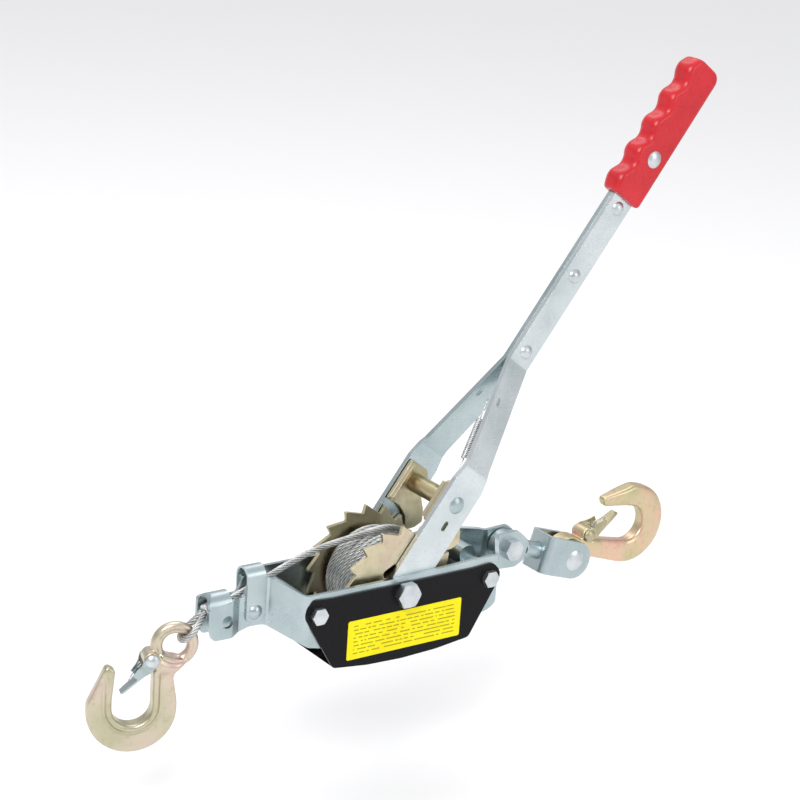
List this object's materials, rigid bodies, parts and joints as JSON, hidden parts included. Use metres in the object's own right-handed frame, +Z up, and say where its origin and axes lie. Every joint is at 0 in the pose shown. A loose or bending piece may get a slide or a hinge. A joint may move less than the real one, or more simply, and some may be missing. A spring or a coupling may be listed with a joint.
{
  "type": "come along winch",
  "caption": "Hand ratchet puller: a lever handle turns a toothed drum of wire rope between two side plates, with a swivelling anchor hook and a load hook.",
  "frame": {"origin": "centre of the anchor hook's throat, where a shackle or ring bears", "axes": "+X from the load hook towards the anchor hook along the frame, +Z up with the handle above the drum, +Y across the frame towards the far side plate"},
  "size_m": [0.4968, 0.0823, 0.4573],
  "materials": {
    "zinc_steel": "bright zinc plating",
    "gold_zinc": "yellow passivated zinc",
    "black_paint": "gloss black",
    "yellow_label": "plain foil",
    "red_grip": "satin vinyl",
    "rope_steel": "laid galvanised wire",
    "ferrule_alloy": "swaged",
    "spring_steel": "drawn wire"
  },
  "bodies": {
    "frame": {"near_side_plate": "zinc_steel", "far_side_plate": "zinc_steel", "belly_cover": "black_paint", "label_plate": "yellow_label", "axle_bolt": "zinc_steel", "axle_nut": "zinc_steel", "cover_bolts": "zinc_steel", "cover_nuts": "zinc_steel", "frame_spacers": "zinc_steel", "neck_bolt": "zinc_steel", "neck_nut": "zinc_steel", "rope_guide_clip": "zinc_steel", "guide_clip_rivet": "zinc_steel", "wire_rope_run": "rope_steel", "rope_ferrule": "ferrule_alloy", "rope_eye_loop": "rope_steel", "holding_pawl_spring": "spring_steel"},
    "drum": {"near_ratchet_wheel": "gold_zinc", "far_ratchet_wheel": "gold_zinc", "drum_core": "gold_zinc", "drum_sleeve": "gold_zinc", "wire_rope_winding": "rope_steel"},
    "handle": {"near_handle_bar": "zinc_steel", "far_handle_bar": "zinc_steel", "handle_rivets": "zinc_steel", "handle_grip": "red_grip", "grip_rivet": "zinc_steel", "pawl_pivot_pin": "zinc_steel", "drive_pawl_spring": "spring_steel"},
    "drive_pawl": {"near_pawl_plate": "gold_zinc", "far_pawl_plate": "gold_zinc", "pawl_tube": "gold_zinc"},
    "holding_pawl": {"holding_pawl": "zinc_steel"},
    "swivel": {"swivel_eye": "zinc_steel"},
    "clevis": {"clevis_bracket": "zinc_steel", "clevis_rivet": "zinc_steel"},
    "anchor_hook": {"anchor_hook": "gold_zinc", "anchor_latch_rivet": "gold_zinc"},
    "anchor_latch": {"anchor_latch": "gold_zinc", "anchor_latch_spring": "spring_steel"},
    "load_hook": {"load_hook": "gold_zinc", "load_latch_rivet": "zinc_steel"},
    "load_latch": {"load_latch": "zinc_steel", "load_latch_spring": "spring_steel"}
  },
  "joints": [
    {"name": "handle_swing", "type": "hinge", "parent": "frame", "child": "handle", "pos_m": [-0.22984, 0, -0.00264], "axis": [0, 1, 0], "range_deg": [-84.71, 21.18]},
    {"name": "drum_spin", "type": "hinge", "parent": "frame", "child": "drum", "pos_m": [-0.22984, 0, -0.00264], "axis": [0, 1, 0], "range_deg": [-85.21, 21.68]},
    {"name": "drive_pawl_tilt", "type": "hinge", "parent": "handle", "child": "drive_pawl", "pos_m": [-0.18691, 0, 0.05516], "axis": [0, -1, 0], "range_deg": [0, 10], "stiffness_Nm_per_rad": 0.6, "springref_deg": -20.05, "deforming": ["drive_pawl_spring"]},
    {"name": "holding_pawl_tilt", "type": "hinge", "parent": "frame", "child": "holding_pawl", "pos_m": [-0.15584, 0, -0.00464], "axis": [0, 1, 0], "range_deg": [0, 11]},
    {"name": "swivel_hinge", "type": "hinge", "parent": "frame", "child": "swivel", "pos_m": [-0.11734, 0, 0.00186], "axis": [0, 1, 0], "range_deg": [-35, 20]},
    {"name": "clevis_turn", "type": "hinge", "parent": "swivel", "child": "clevis", "pos_m": [-0.11734, 0, 0.00186], "axis": [0.9537, 0, -0.3007], "continuous": true},
    {"name": "anchor_hook_swing", "type": "hinge", "parent": "clevis", "child": "anchor_hook", "pos_m": [-0.05802, 0, -0.01684], "axis": [0, 1, 0], "range_deg": [-40, 55]},
    {"name": "anchor_latch_open", "type": "hinge", "parent": "anchor_hook", "child": "anchor_latch", "pos_m": [-0.04046, 0, -0.0023], "axis": [0, 1, 0], "range_deg": [0, 27], "stiffness_Nm_per_rad": 0.05, "springref_deg": -28.65, "deforming": ["anchor_latch_spring"]},
    {"name": "load_hook_swing", "type": "hinge", "parent": "frame", "child": "load_hook", "pos_m": [-0.39774, 0, -0.02034], "axis": [0.309, 0.9511, 0], "range_deg": [-45, 40]},
    {"name": "load_latch_open", "type": "hinge", "parent": "load_hook", "child": "load_latch", "pos_m": [-0.41324, 0.00504, -0.02924], "axis": [-0.309, -0.9511, 0], "range_deg": [0, 23], "stiffness_Nm_per_rad": 0.05, "springref_deg": -28.65, "deforming": ["load_latch_spring"]}
  ],
  "couplings": [
    {"joint": "drum_spin", "follows": "handle_swing", "ratio": 1}
  ]
}
